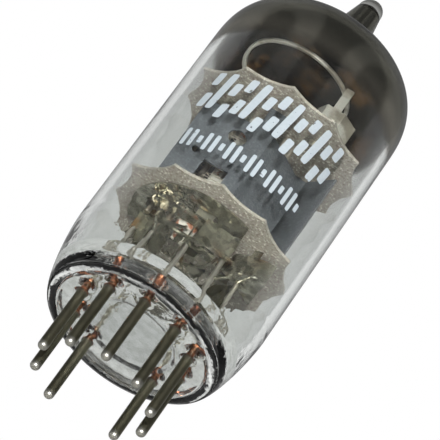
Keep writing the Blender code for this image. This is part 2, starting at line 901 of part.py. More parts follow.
def strap_start(number, route, low):
    """Where a strap lies along its lead, or along the skirt's wall if it has none."""
    if number is None:
        wall = [Vector(spot) for spot in skirt_path()[:2]]
        ahead = (wall[0] - wall[1]).normalized()
        inwards = Vector((ahead.y, -ahead.x)) * (sheet / 2 + strap_sheet / 2 + weld_gap)
        return [tuple(wall[0] + inwards - ahead * weld_length), tuple(wall[0] + inwards)]
    lead = Vector(lead_at(number, low + weld_overlap / 2))
    ahead = (Vector(route[0]) - lead).normalized()
    beside = Vector((-ahead.y, ahead.x)) * (lead_radius + strap_sheet / 2 + weld_gap)
    half = ahead * weld_length / 2
    return [tuple(lead + beside - half), tuple(lead + beside + half)]


def build_straps(surface):
    """Nickel ribbons on edge, each from its lead to the electrode that it feeds."""
    for name, (number, route, low, high) in strap_routes().items():
        shape = bmesh.new()
        add_wall(shape, strap_start(number, route, low) + route, strap_sheet, low, high)
        place(name, shape, surface)


def main():
    clear_scene()
    glass = finish("clear glass", (0.86, 0.88, 0.88), 0.03, 0.0, 1.0)
    pin_metal = finish("nickel iron pin", (0.42, 0.41, 0.36), 0.35, 1.0)
    mica = finish("mica", (0.5, 0.44, 0.36), 0.5, 0.0)
    carbonised = finish("carbonised steel", (0.1, 0.11, 0.11), 0.6, 0.6)
    nickel = finish("bright nickel", (0.68, 0.66, 0.6), 0.22, 1.0)
    wire = finish("grid wire", (0.45, 0.42, 0.36), 0.35, 1.0)
    oxide = finish("cathode coating", (0.8, 0.79, 0.75), 0.85, 0.0)
    ceramic = finish("heater coating", (0.88, 0.87, 0.84), 0.8, 0.0)

    build_bulb(glass)
    build_base(glass)
    build_pins(pin_metal)
    build_mica("lower_mica", lower_mica_bottom, mica)
    build_mica("upper_mica", upper_mica_bottom, mica)
    build_pentode_anode(carbonised)
    build_triode_anode(carbonised)
    build_screen(carbonised)
    pentode = (pentode_x, pentode_y)
    triode = (triode_x, triode_y)
    grids = (
        ("pentode_control_grid", pentode, control_half, control_depth, control_turns),
        ("pentode_screen_grid", pentode, screen_half, screen_depth, screen_turns),
        ("pentode_suppressor_grid", pentode, suppressor_half, suppressor_depth, suppressor_turns),
        ("triode_grid", triode, triode_grid_half, triode_grid_depth, triode_grid_turns),
    )
    for grid in grids:
        build_grid(*grid, wire)
    build_sleeve("pentode_cathode", pentode, pentode_sleeve_half, pentode_sleeve_depth, oxide)
    build_sleeve("triode_cathode", triode, triode_sleeve_radius, triode_sleeve_radius, oxide)
    build_heater("pentode_heater", pentode, pentode_heater_half, ceramic)
    build_heater("triode_heater", triode, triode_heater_half, ceramic)
    build_skirt(nickel)
    build_apron(nickel)
    build_getter_ring(nickel)
    build_getter_post(nickel)
    build_getter_clip(nickel)
    build_straps(nickel)


main()
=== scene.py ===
import math

import bpy
import numpy as np
from mathutils import Euler, Matrix, Vector


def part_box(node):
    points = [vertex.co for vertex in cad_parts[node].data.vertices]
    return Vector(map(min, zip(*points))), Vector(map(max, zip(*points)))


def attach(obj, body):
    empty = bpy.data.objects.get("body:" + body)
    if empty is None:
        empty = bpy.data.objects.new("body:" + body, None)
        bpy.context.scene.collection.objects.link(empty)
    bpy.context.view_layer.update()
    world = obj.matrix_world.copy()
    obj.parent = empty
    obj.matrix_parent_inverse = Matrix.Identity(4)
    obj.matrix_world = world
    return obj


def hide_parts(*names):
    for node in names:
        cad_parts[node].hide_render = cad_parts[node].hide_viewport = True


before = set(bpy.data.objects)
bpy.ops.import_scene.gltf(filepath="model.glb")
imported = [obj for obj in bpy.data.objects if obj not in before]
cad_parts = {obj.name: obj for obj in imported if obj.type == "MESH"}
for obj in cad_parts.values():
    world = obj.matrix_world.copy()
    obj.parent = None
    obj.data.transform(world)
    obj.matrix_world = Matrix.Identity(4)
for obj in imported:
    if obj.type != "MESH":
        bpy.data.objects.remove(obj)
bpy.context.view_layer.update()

# Pins: nine drawn nickel-iron pins with rounded tips, worn bright and painted with a highlight. Each runs
# up into the glass as a copper-clad seal, which shows red there, and goes on inside as a thin nickel lead.
MM = 0.001
PIN_COUNT = 9
PIN_RADIUS = 0.508
PIN_CIRCLE = 5.945
PIN_PITCH = 36.0
PIN_FIRST = 126.0
PIN_TIP = 0.46
PIN_SIDES = 28
SEAL_RADIUS = 0.36
SEAL_FROM = 7.75
SEAL_TO = 10.3
LEAD_RADIUS = 0.25
LEAD_LEAN = 0.55
LEAD_SPAN = 10.35


class Sock:
    """A shader socket that takes part in sums: noise * 0.2 or 1 - mask adds Math nodes."""

    def __init__(self, tree, socket):
        self.tree = tree
        self.socket = socket

    def node(self, kind, settings=None, sockets=None, out=0):
        """Add a node, set its settings, then its sockets, and return one of its outputs."""
        made = self.tree.nodes.new("ShaderNode" + kind)
        for key, value in (settings or {}).items():
            setattr(made, key, value)
        for key, value in (sockets or {}).items():
            if isinstance(value, Sock):
                self.tree.links.new(value.socket, made.inputs[key])
            else:
                made.inputs[key].default_value = value
        return Sock(self.tree, made.outputs[out])

    def maths(self, operation, first, second):
        """A Math node on two numbers or sockets."""
        return self.node("Math", {"operation": operation}, {0: first, 1: second})

    def __add__(self, other):
        return self.maths("ADD", self, other)

    def __sub__(self, other):
        return self.maths("SUBTRACT", self, other)

    def __rsub__(self, other):
        return self.maths("SUBTRACT", other, self)

    def __mul__(self, other):
        return self.maths("MULTIPLY", self, other)

    def __pow__(self, other):
        return self.maths("POWER", self, other)

    __radd__ = __add__
    __rmul__ = __mul__

    def step(self, low, high):
        """0 below low, 1 above high and smooth between them."""
        return self.node("MapRange", {"interpolation_type": "SMOOTHSTEP"},
                         {"Value": self, "From Min": low, "From Max": high})

    def blend(self, first, second):
        """Colour mix, with this number as the share of the second colour."""
        first = first if isinstance(first, Sock) else (*first, 1.0)
        second = second if isinstance(second, Sock) else (*second, 1.0)
        return self.node("Mix", {"data_type": "RGBA"}, {0: self, 6: first, 7: second}, 2)

    def axis(self, letter):
        """One coordinate of a vector."""
        return self.node("SeparateXYZ", None, {0: self}, letter)

    def noise(self, scale, detail=3.0, stretch=(1.0, 1.0, 1.0)):
        """Cloudy number from 0 to 1 at this place; scale counts clouds per metre."""
        place = self.node("Mapping", None, {"Vector": self, "Scale": stretch})
        return place.node("TexNoise", None, {"Vector": place, "Scale": scale, "Detail": detail})


def source(tree, kind, output):
    """An output of a new node that takes no input."""
    return Sock(tree, tree.nodes.new("ShaderNode" + kind).outputs[output])


def new_finish(name, constants, varying):
    """A Principled material: constants sit on its sockets, varying is worked out from place."""
    made = bpy.data.materials.new(name)
    made.use_nodes = True
    tree = made.node_tree
    shader = tree.nodes["Principled BSDF"]
    for key, value in constants.items():
        shader.inputs[key].default_value = value
    place = source(tree, "TexCoord", "Object")
    for key, value in varying(place).items():
        if key == "Bump":
            strength, depth, height = value
            sockets = {"Strength": strength, "Distance": depth, "Height": height}
            value = height.node("Bump", None, sockets)
            key = "Normal"
        tree.links.new(value.socket, shader.inputs[key])
    return made


def new_piece(name, points, surface, caps=(), closed_rows=False, sharp=40.0):
    """A closed mesh of a grid of points, in millimetres.

    Row i, column j joins row i + 1 and column j + 1. Columns close round on
    themselves, rows too if closed_rows. caps lists the end rows, 0 or -1, that are
    closed by a fan about their mean. The faces are turned outwards by the sign of
    the volume, a sum of triple products of the corners.
    """
    rows, columns = points.shape[:2]
    number = np.arange(rows * columns).reshape(rows, columns)
    near = number if closed_rows else number[:-1]
    far = np.roll(number, -1, axis=0) if closed_rows else number[1:]
    quads = np.stack([near, np.roll(near, -1, axis=1), np.roll(far, -1, axis=1), far], axis=-1)
    corners = points.reshape(-1, 3)
    faces = quads.reshape(-1, 4).tolist()
    for row in caps:
        centre = len(corners)
        corners = np.vstack([corners, points[row].mean(axis=0)])
        ring = number[row]
        fan = np.stack([np.roll(ring, -1), ring, np.full_like(ring, centre)], axis=-1)
        faces += (fan if row == 0 else fan[:, ::-1]).tolist()
    halves = [face[:3] for face in faces]
    halves += [[face[0], face[2], face[3]] for face in faces if len(face) == 4]
    a, b, c = (corners[np.array(halves)[:, k]] for k in range(3))
    if np.einsum("ij,ij->i", a, np.cross(b, c)).sum() < 0:
        faces = [face[::-1] for face in faces]
    mesh = bpy.data.meshes.new(name)
    mesh.from_pydata((corners * MM).tolist(), [], faces)
    mesh.shade_smooth()
    mesh.set_sharp_from_angle(angle=math.radians(sharp))
    mesh.materials.append(surface)
    thing = bpy.data.objects.new(name, mesh)
    bpy.context.collection.objects.link(thing)
    return thing


def swept(path, radii, sides):
    """Rings of points along a path: each lies across the path's direction at its radius.

    The across directions are the path's direction crossed with one fixed vector, and
    that crossed with the direction again.
    """
    path = np.asarray(path, float)
    radii = np.broadcast_to(np.asarray(radii, float), len(path))
    along = np.gradient(path, axis=0)
    along /= np.linalg.norm(along, axis=1)[:, None]
    fixed = np.array([0.31, 0.95, 0.04])
    across = np.cross(along, fixed)
    across /= np.linalg.norm(across, axis=1)[:, None]
    other = np.cross(along, across)
    turn = np.linspace(0.0, math.tau, sides, endpoint=False)[None, :, None]
    ring = np.cos(turn) * across[:, None] + np.sin(turn) * other[:, None]
    return path[:, None] + radii[:, None, None] * ring


def pin_shape(turn, top):
    """Path and radii of a pin with its seal and its lead, at one turn about the middle.

    The tip's radius is the pin's times the root of 1 - (1 - height / tip height)
    squared. Above the seal the lead leans inwards in proportion to its height.
    """
    tip = PIN_TIP * (1.0 - np.cos(np.linspace(0.12, math.pi / 2, 9)))
    pin = np.linspace(PIN_TIP + 0.1, SEAL_FROM - 0.05, 14)
    seal = np.linspace(SEAL_FROM, SEAL_TO, 12)
    lead = np.linspace(SEAL_TO + 0.1, top, 24)
    heights = np.concatenate([tip, pin, seal, lead])
    radii = np.where(heights <= SEAL_TO, SEAL_RADIUS, LEAD_RADIUS)
    radii = np.where(heights < SEAL_FROM, PIN_RADIUS, radii)
    rounded = np.sqrt(np.clip(1.0 - (1.0 - np.clip(heights / PIN_TIP, 0.0, 1.0)) ** 2, 0.02, 1.0))
    reach = PIN_CIRCLE - LEAD_LEAN * np.clip((heights - SEAL_TO) / LEAD_SPAN, 0.0, 1.0)
    path = np.stack([reach * math.cos(turn), reach * math.sin(turn), heights], axis=-1)
    return path, radii * rounded


def pin_colours(place):
    """Dull drawn metal, its tip worn bright with a painted highlight, red at the seal and pale on the lead.
    """
    height = place.axis("Z")
    drawn = place.noise(900.0, 4.0, (1.0, 1.0, 0.06))
    dirt = place.noise(1400.0, 5.0)
    # The tip's bright colour is wear together with a painted highlight.
    worn = 1 - (height + dirt * 0.0007).step(0.0007, 0.0012)
    tone = drawn.blend((0.085, 0.080, 0.052), (0.25, 0.24, 0.17))
    tone = worn.blend(tone, (0.50, 0.49, 0.44))
    red = dirt.step(0.42, 0.62).blend((0.10, 0.035, 0.02), (0.42, 0.16, 0.08))
    tone = height.step(0.0072, 0.0078).blend(tone, red)
    tone = height.step(0.0102, 0.0105).blend(tone, (0.60, 0.57, 0.50))
    rough = 0.26 + dirt * 0.22
    return {"Base Color": tone, "Roughness": rough, "Bump": (0.25, 0.00002, drawn)}


pin_finish = new_finish("drawn pin metal", {"Metallic": 1.0}, pin_colours)
pin_turns = [math.radians(PIN_FIRST + PIN_PITCH * k) for k in range(PIN_COUNT)]
for number, turn in enumerate(pin_turns, 1):
    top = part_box(f"pin_{number}")[1][2] / MM
    rings = swept(*pin_shape(turn, top), PIN_SIDES)
    pin = new_piece(f"pin_{number}_drawn", rings, pin_finish, (0, -1))
    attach(pin, "root")
    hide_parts(f"pin_{number}")


# Glass base: a button of clear glass pressed round the nine seals. It has a bead at each pin
# on both faces, a shallow dish in the middle, and its edge is fused into the bulb's mouth.
BASE_RADIUS = 7.88
BASE_LOW = 7.3
BASE_HIGH = 9.6
BASE_EDGE = 0.35
BASE_RINGS = 70
BASE_BEND_RINGS = 16
BASE_STEPS = 288
DISH_RADIUS = 4.7
DISH_DEPTH = 0.22
DISH_SLOPE = 0.4
DISH_FADE = 0.8
BEAD_RADIUS = 0.98
BEAD_DROP = 0.36
BEAD_RISE = 0.95


def glass_colours(place):
    """Nearly clear glass with cords in it, streaked below, painted shade at its edges, darker at its tip.

    The base ends near a height of 0.0096, the shoulder near 0.0148, and the exhaust tip's
    round end starts near 0.054, all in metres.
    """
    height = place.axis("Z")
    shoulder = 1 - height.step(0.0085, 0.0150)
    foot = 1 - height.step(0.0092, 0.0100)
    across = place.axis("X") * place.axis("X") + place.axis("Y") * place.axis("Y")
    dish = 1 - across.step((DISH_RADIUS * MM) ** 2, ((DISH_RADIUS + DISH_FADE) * MM) ** 2)
    cord = place.noise(420.0, 2.0, (1.0, 1.0, 0.25))
    ripple = place.noise(380.0, 3.0)
    streak = place.noise(900.0, 3.0, (1.0, 1.0, 2.5))
    wave = cord * 0.12 + shoulder * ripple + foot * streak * 0.5
    rim_tone = streak.step(0.38, 0.62).blend((0.66, 0.67, 0.64), (0.90, 0.91, 0.90))
    dish_tone = streak.step(0.38, 0.62).blend((0.44, 0.455, 0.44), (0.60, 0.62, 0.61))
    tone = cord.blend((0.73, 0.75, 0.735), (0.78, 0.795, 0.78))
    tone = foot.blend(tone, dish.blend(rim_tone, dish_tone))
    # Painted shade: above the base, the tint darkens where the glass is seen edge-on.
    edge = place.node("LayerWeight", None, {"Blend": 0.5}, "Facing") ** 3.0
    tone = (edge * height.step(0.0100, 0.0130)).blend(tone, (0.34, 0.36, 0.355))
    tone = height.step(0.0535, 0.0545).blend(tone, (0.16, 0.16, 0.15))
    return {"Base Color": tone, "Bump": (0.6, 0.00018, wave)}


def glass_finish(name):
    """Clear glass whose shadow rays pass, so that lamps reach what is inside it."""
    constants = {"Roughness": 0.0, "IOR": 1.5, "Transmission Weight": 1.0}
    made = new_finish(name, constants, glass_colours)
    tree = made.node_tree
    glass = Sock(tree, tree.nodes["Principled BSDF"].outputs["BSDF"])
    shadow = source(tree, "LightPath", "Is Shadow Ray")
    clear = shadow.node("BsdfTransparent", None, {"Color": (0.94, 0.95, 0.95, 1.0)})
    mix = shadow.node("MixShader", None, {0: shadow, 1: glass, 2: clear})
    tree.links.new(mix.socket, tree.nodes["Material Output"].inputs["Surface"])
    return made


def button(rings, steps):
    """Pressed button: a disc with a rounded edge, its faces moved by a dish and nine beads.

    The profile runs from the middle of the lower face out round the edge to the middle
    of the upper face. A bead adds height times (1 - (distance / radius) squared) squared.
    """
    flat = BASE_RADIUS - BASE_EDGE
    outwards = flat * np.linspace(0.004, 1.0, rings)
    bend = np.linspace(-math.pi / 2, math.pi / 2, BASE_BEND_RINGS + 2)[1:-1]
    radius = np.concatenate([outwards, flat + BASE_EDGE * np.cos(bend), outwards[::-1]])
    half = (BASE_HIGH - BASE_LOW) / 2 - BASE_EDGE
    middle = (BASE_HIGH + BASE_LOW) / 2
    bent = middle + np.sign(bend) * half + BASE_EDGE * np.sin(bend)
    height = np.concatenate([np.full(rings, BASE_LOW), bent, np.full(rings, BASE_HIGH)])
    turn = np.linspace(0.0, math.tau, steps, endpoint=False)
    x = radius[:, None] * np.cos(turn)
    y = radius[:, None] * np.sin(turn)
    z = np.repeat(height[:, None], steps, axis=1)
    lower = (np.arange(len(radius)) < rings)[:, None]
    upper = (np.arange(len(radius)) >= len(radius) - rings)[:, None]
    z = z + lower * DISH_DEPTH * np.clip((DISH_RADIUS - radius[:, None]) / DISH_SLOPE, 0.0, 1.0)
    for at in pin_turns:
        far = np.hypot(x - PIN_CIRCLE * math.cos(at), y - PIN_CIRCLE * math.sin(at)) / BEAD_RADIUS
        bead = np.clip(1.0 - far ** 2, 0.0, 1.0) ** 2
        z = z + upper * BEAD_RISE * bead - lower * BEAD_DROP * bead
    return np.stack([x, y, z], axis=-1)


base_glass = glass_finish("pressed glass")
base = new_piece("pressed_base", button(BASE_RINGS, BASE_STEPS), base_glass, (0, -1), sharp=60.0)
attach(base, "root")
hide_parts("glass_base")


# Bright nickel: rolled strip for the straps, the skirt and the lower screen. It keeps fine
# rolling lines, and heat has left it straw and brown near the welds.
def nickel_colours(place):
    rolled = place.noise(2600.0, 3.0, (1.0, 1.0, 0.15))
    heat = place.noise(320.0, 3.0)
    dull = place.noise(240.0, 3.0)
    dent = place.noise(620.0, 1.0)
    tone = rolled.blend((0.34, 0.325, 0.255), (0.62, 0.60, 0.50))
    tone = dull.step(0.42, 0.50).blend(tone, (0.20, 0.19, 0.14))
    tone = heat.step(0.58, 0.68).blend(tone, (0.20, 0.12, 0.055))
    return {"Base Color": tone, "Metallic": 0.97 - dull.step(0.38, 0.66) * 0.3,
            "Roughness": 0.06 + rolled * 0.14, "Bump": (0.8, 0.0011, dent)}


def dress(finish, *nodes):
    """Give nodes of the frame a finish in place of their own."""
    for node in nodes:
        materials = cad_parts[node].data.materials
        materials.clear()
        materials.append(finish)


nickel_finish = new_finish("rolled nickel", {}, nickel_colours)
straps = [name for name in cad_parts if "_strap" in name]
dress(nickel_finish, *straps, "lower_skirt", "lower_screen")


# Link wires: soft bright wires that join the second rod of each grid to its first one, the two
# heaters to each other, and the cathode and the anode to their leads. They are bent by hand
# and welded.
WIRE_ROWS = 14
WIRE_SIDES = 12
LINK_WIRES = (
    ("screen_grid_link", 0.15,
     ((-4.45, -1.75, 18.6), (-4.3, -3.4, 17.6), (-1.6, -4.3, 16.7), (1.4, -3.4, 17.6), (1.5, -1.75, 18.6))),
    ("control_grid_link", 0.13,
     ((-3.45, -1.75, 18.6), (-3.3, -3.0, 17.9), (-1.4, -3.5, 17.4), (0.3, -3.0, 17.9), (0.45, -1.75, 18.6))),
    ("suppressor_link", 0.13,
     ((-5.5, -1.75, 18.6), (-5.6, -0.4, 17.7), (-2.2, 0.8, 17.2), (2.2, 0.2, 17.6), (2.5, -1.75, 18.6))),
    ("cathode_lead", 0.15,
     ((-1.5, -2.15, 19.2), (-1.6, -3.3, 18.0), (-4.2, -3.9, 17.2), (-3.6, -5.4, 16.2), (-3.2, -4.55, 14.7))),
    ("heater_link_left", 0.15,
     ((0.57, 5.3, 17.7), (0.2, 4.5, 16.5), (-1.8, 1.9, 15.3), (-3.2, -1.0, 15.9), (-2.4, -2.15, 16.8))),
    ("heater_link_right", 0.15,
     ((1.22, 5.3, 17.7), (1.8, 4.3, 16.6), (1.1, 1.9, 15.2), (0.4, -0.8, 15.8), (-0.64, -2.2, 16.8))),
    ("anode_lead", 0.16,
     ((3.3, -5.1, 16.6), (4.6, -5.6, 16.3), (4.9, -4.9, 14.9), (3.35, -4.55, 14.2))),
)


def rounded_path(corners, count):
    """Quadratic B-spline through the middles of the corners, from the first to the last.

    Between two middles the point is (1 - t) squared times the first, plus 2 t (1 - t)
    times the corner, plus t squared times the second.
    """
    corners = np.asarray(corners, float)
    middles = (corners[1:] + corners[:-1]) / 2
    middles[0] = corners[0]
    middles[-1] = corners[-1]
    t = np.linspace(0.0, 1.0, count)[:, None]
    parts = [(1 - t) ** 2 * a + 2 * t * (1 - t) * c + t ** 2 * b
             for a, c, b in zip(middles, corners[1:], middles[1:])]
    return np.concatenate([parts[0]] + [part[1:] for part in parts[1:]])


for name, radius, corners in LINK_WIRES:
    rings = swept(rounded_path(corners, WIRE_ROWS), radius, WIRE_SIDES)
    wire = new_piece(name, rings, nickel_finish, (0, -1))
    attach(wire, "root")


# Micas: two spacers punched from sheet mica, with teeth that grip the glass. The faces are
# tan and speckled, and the cut edges are more even.
def mica_colours(place):
    cloud = place.noise(280.0, 4.0)
    speck = place.noise(4200.0, 5.0)
    tone = cloud.blend((0.15, 0.135, 0.105), (0.31, 0.285, 0.24))
    tone = speck.step(0.54, 0.66).blend(tone, (0.14, 0.10, 0.08))
    tone = (1 - speck.step(0.32, 0.44)).blend(tone, (0.56, 0.52, 0.46))
    upright = place.node("NewGeometry", out="Normal").axis("Z")
    edge = 1 - (upright * upright).step(0.2, 0.6)
    tone = (edge * 0.6).blend(tone, (0.24, 0.22, 0.18))
    return {"Base Color": tone, "Roughness": 0.3 + speck * 0.3, "Bump": (0.5, 0.00005, speck)}


mica_finish = new_finish("sheet mica", {"Coat Weight": 0.3, "Coat Roughness": 0.15}, mica_colours)
dress(mica_finish, "lower_mica", "upper_mica")


# Anodes and the screen between the sections: folded from strip that is blackened with carbon
# to shed heat. The finish is a cloudy slate grey, and the tabs below the mica are left bare.
def slate_colours(place):
    cloud = place.noise(260.0, 4.0)
    grain = place.noise(4200.0, 4.0)
    tone = cloud.blend((0.040, 0.044, 0.048), (0.080, 0.087, 0.093))
    tone = grain.step(0.45, 0.75).blend(tone, (0.11, 0.117, 0.125))
    bare = 1 - place.axis("Z").step(0.0196, 0.0200)
    tone = bare.blend(tone, (0.26, 0.25, 0.20))
    return {"Base Color": tone, "Roughness": 0.42 + grain * 0.2, "Metallic": bare,
            "Bump": (0.3, 0.00002, grain)}


slate_finish = new_finish("carbonised strip", {"Specular IOR Level": 0.2}, slate_colours)
dress(slate_finish, "pentode_anode", "triode_anode", "section_screen")


# Grids: fine wire wound on two side rods and pressed into notches in them. The rods pass
# through the micas, and the metal has tarnished to a yellowish grey.
def wire_colours(place):
    tarnish = place.noise(1500.0, 3.0)
    tone = tarnish.blend((0.30, 0.26, 0.20), (0.60, 0.56, 0.48))
    return {"Base Color": tone, "Roughness": 0.25 + tarnish * 0.2}


wire_finish = new_finish("grid wire", {"Metallic": 1.0}, wire_colours)
dress(wire_finish, "pentode_control_grid", "pentode_screen_grid", "pentode_suppressor_grid", "triode_grid")


# Cathodes: nickel sleeves sprayed with oxide, with hairpin heaters inside that are coated with
# alumina. Use has greyed the coating and burnt it brown in patches.
def oxide_colours(place):
    grain = place.noise(5200.0, 4.0)
    tone = grain.blend((0.34, 0.32, 0.27), (0.48, 0.46, 0.41))
    burnt = place.noise(900.0, 3.0).step(0.52, 0.62)
    tone = burnt.blend(tone, (0.26, 0.10, 0.05))
    return {"Base Color": tone, "Bump": (0.5, 0.00003, grain)}


oxide_finish = new_finish("sprayed oxide", {"Roughness": 0.85}, oxide_colours)
dress(oxide_finish, "pentode_cathode", "triode_cathode", "pentode_heater", "triode_heater")


# Getter: a channel of plated iron, bent into a ring, that held the getter metal. It is welded
# to its post, which stands on the upper mica and carries a folded clip.
RING_LOW = 40.75
RING_RADIUS = 5.6
RING_HALF = 0.2
RING_DEPTH = 0.32
RING_WALL = 0.09
RING_CORNER = 0.12
RING_FILLET = 0.06
RING_FILLET_TOP = 0.2
RING_FILLET_RISE = 0.02
RING_X = -1.2
RING_Y = -0.3
RING_STEPS = 160


def channel_ring():
    """Section of a channel with rounded lower corners, turned about the ring's middle."""
    bend = np.linspace(math.pi, 1.5 * math.pi, 7)
    corner = RING_CORNER * np.stack([1.0 + np.cos(bend), 1.0 + np.sin(bend)], axis=-1)
    left = corner - (RING_HALF, 0.0)
    outer = [[[-RING_HALF, RING_DEPTH]], left, left[::-1] * (-1, 1), [[RING_HALF, RING_DEPTH]]]
    reach = RING_HALF - RING_WALL
    lip = np.array([[reach, RING_DEPTH], [reach, RING_FILLET_TOP],
                    [reach - RING_FILLET, RING_WALL + RING_FILLET_RISE]])
    section = np.concatenate(outer + [lip, [[0.0, RING_WALL]], lip[::-1] * (-1, 1)])
    turn = np.linspace(0.0, math.tau, RING_STEPS, endpoint=False)[:, None]
    r = RING_RADIUS + section[None, :, 0]
    z = np.repeat(RING_LOW + section[None, :, 1], RING_STEPS, axis=0)
    return np.stack([RING_X + r * np.cos(turn), RING_Y + r * np.sin(turn), z], axis=-1)


def ring_colours(place):
    dull = place.noise(500.0, 3.0)
    tone = dull.step(0.40, 0.60).blend((0.60, 0.58, 0.50), (0.30, 0.27, 0.21))
    return {"Base Color": tone, "Roughness": 0.25 + dull * 0.15}


ring_finish = new_finish("plated iron", {"Metallic": 0.6}, ring_colours)
ring = new_piece("channel_ring", channel_ring(), ring_finish, closed_rows=True, sharp=50.0)
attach(ring, "root")
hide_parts("getter_ring")
dress(ring_finish, "getter_post", "getter_clip")


# Bulb: clear glass blown into shape, with a round shoulder, a dome and the pinched exhaust
# tip. Its mouth is fused to the pressed base.
BULB_RADIUS = 10.28
BULB_WALL = 0.85
BULB_INNER = BULB_RADIUS - BULB_WALL
BULB_STEPS = 160
RIM_RADIUS = 8.83
RIM_LOW = 7.34
MOUTH_RADIUS = 7.92
FOOT = 7.5
SHOULDER_TOP = 14.8
SHOULDER_POWER = 1.45
SHOULDER_TURN = 1.42
SHOULDER_ROWS = 36
SHOULDER_INNER_LOW = 9.9
SIDE_MARGIN = 0.5
SIDE_ROWS = 30
CYLINDER_TOP = 40.2
DOME_HEIGHT = 7.2
DOME_TOP = CYLINDER_TOP + DOME_HEIGHT
DOME_INNER_HEIGHT = DOME_HEIGHT - BULB_WALL
DOME_POWER = 2.9
DOME_ROWS = 44
TIP_TOP = 55.38
TIP_RADIUS = 1.28
TIP_ROOT = 2.35
TIP_FOOT = 3.6
TIP_FLARE = 0.9
TIP_FLARE_FALL = 0.4
TIP_LEAN = 0.06875
HOLLOW_ROOT = 1.2
HOLLOW_RADIUS = 0.9
HOLLOW_FOOT = 2.35
HOLLOW_FLARE = 1.1
HOLLOW_FLARE_FALL = 0.3
HOLLOW_LENGTH = 7.75
HOLLOW_SUNK = 0.04
HOLLOW_CLOSING = 0.9
HOLLOW_CLOSING_SPAN = 0.101
HOLLOW_ROWS = 26


def dome_profile(radius, height, turn):
    """Quarter of a superellipse above the cylinder: radius and height at each turn."""
    r = radius * np.sin(turn) ** (2.0 / DOME_POWER)
    return r, CYLINDER_TOP + height * np.cos(turn) ** (2.0 / DOME_POWER)


def shoulder_profile(radius, narrow, turn):
    """Quarter of a superellipse below the cylinder, in to the narrow radius."""
    reach = radius - narrow
    r = narrow + reach * np.cos(turn) ** (2.0 / SHOULDER_POWER)
    return r, SHOULDER_TOP - (SHOULDER_TOP - FOOT) * np.sin(turn) ** (2.0 / SHOULDER_POWER)


def hollow_profile(inset):
    """The hollow of the exhaust tip: a cone that flares at its mouth and has a round end.

    up runs from 0 at the mouth to 1 at the end. The flare is an exponential of the
    height, and the last tenth closes by the root of 1 - its share squared.
    """
    up = np.linspace(0.0, 1.0, HOLLOW_ROWS)
    cone = HOLLOW_ROOT + (HOLLOW_RADIUS - HOLLOW_ROOT) * up
    share = np.clip((up - HOLLOW_CLOSING) / HOLLOW_CLOSING_SPAN, 0.0, 1.0)
    flare = HOLLOW_FLARE * np.exp(-up * HOLLOW_LENGTH / HOLLOW_FLARE_FALL)
    r = cone * np.sqrt(1.0 - share ** 2) + flare - inset
    return r, DOME_TOP - BULB_WALL + HOLLOW_LENGTH * up - HOLLOW_SUNK


def outer_profile():
    """The bulb's outer side, from the top of the tip down to the shoulder's foot.

    Below its round end the tip is a cone, with a flare at its root that is an
    exponential of the height above the dome.
    """
    turn = np.linspace(0.1, math.pi / 2, 14)
    parts = [(TIP_RADIUS * np.sin(turn), TIP_TOP - TIP_RADIUS * (1.0 - np.cos(turn)))]
    start = TIP_TOP - TIP_RADIUS
    down = np.linspace(start - 0.2, DOME_TOP + 0.12, 26)
    cone = TIP_RADIUS + (TIP_ROOT - TIP_RADIUS) * (start - down) / (start - DOME_TOP - 1.0)
    parts.append((cone + TIP_FLARE * np.exp((DOME_TOP - down) / TIP_FLARE_FALL), down))
    r, z = dome_profile(BULB_RADIUS, DOME_HEIGHT, np.linspace(0.28, math.pi / 2, DOME_ROWS))
    parts.append((r[r > TIP_FOOT], z[r > TIP_FOOT]))
    side = np.linspace(CYLINDER_TOP - SIDE_MARGIN, SHOULDER_TOP + SIDE_MARGIN, SIDE_ROWS)
    parts.append((np.full(SIDE_ROWS, BULB_RADIUS), side))
    turn = np.linspace(0.0, SHOULDER_TURN, SHOULDER_ROWS)
    return parts + [shoulder_profile(BULB_RADIUS, RIM_RADIUS, turn)]


def rim_profile():
    """The rim, from the shoulder's foot in round the mouth and up to the base's upper face."""
    under = (np.array([RIM_RADIUS, RIM_RADIUS - 0.06, RIM_RADIUS - 0.2, 8.3, 8.0]),
             np.array([FOOT + 0.25, FOOT + 0.02, RIM_LOW, RIM_LOW, RIM_LOW + 0.05]))
    mouth = (np.array([MOUTH_RADIUS, MOUTH_RADIUS, MOUTH_RADIUS, MOUTH_RADIUS + 0.04]),
             np.array([RIM_LOW + 0.2, 8.4, 9.5, 9.75]))
    return [under, mouth]


def inner_profile():
    """The bulb's inner side, from the base's upper face up to the end of the tip's hollow."""
    turn = np.linspace(SHOULDER_TURN, 0.0, SHOULDER_ROWS)
    r, z = shoulder_profile(BULB_INNER, RIM_RADIUS - BULB_WALL, turn)
    parts = [(r[z > SHOULDER_INNER_LOW], z[z > SHOULDER_INNER_LOW])]
    side = np.linspace(SHOULDER_TOP + SIDE_MARGIN, CYLINDER_TOP - SIDE_MARGIN, SIDE_ROWS)
    parts.append((np.full(SIDE_ROWS, BULB_INNER), side))
    r, z = dome_profile(BULB_INNER, DOME_INNER_HEIGHT, np.linspace(math.pi / 2, 0.1, DOME_ROWS))
    parts.append((r[r > HOLLOW_FOOT], z[r > HOLLOW_FOOT]))
    return parts + [hollow_profile(0.0)]


def lathe(r, z, steps):
    """Turn a profile about Z, its middle moved to +X in proportion above the dome."""
    turn = np.linspace(0.0, math.tau, steps, endpoint=False)
    middle = TIP_LEAN * np.clip(z - DOME_TOP, 0.0, None)
    x = middle[:, None] + r[:, None] * np.cos(turn)
    y = r[:, None] * np.sin(turn)
    return np.stack([x, y, np.repeat(z[:, None], steps, axis=1)], axis=-1)


bulb_radii, bulb_heights = zip(*outer_profile(), *rim_profile(), *inner_profile())
bulb_points = lathe(np.concatenate(bulb_radii), np.concatenate(bulb_heights), BULB_STEPS)
bulb = new_piece("blown_bulb", bulb_points, glass_finish("blown glass"), (0, -1), sharp=60.0)
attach(bulb, "root")
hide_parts("glass_bulb")


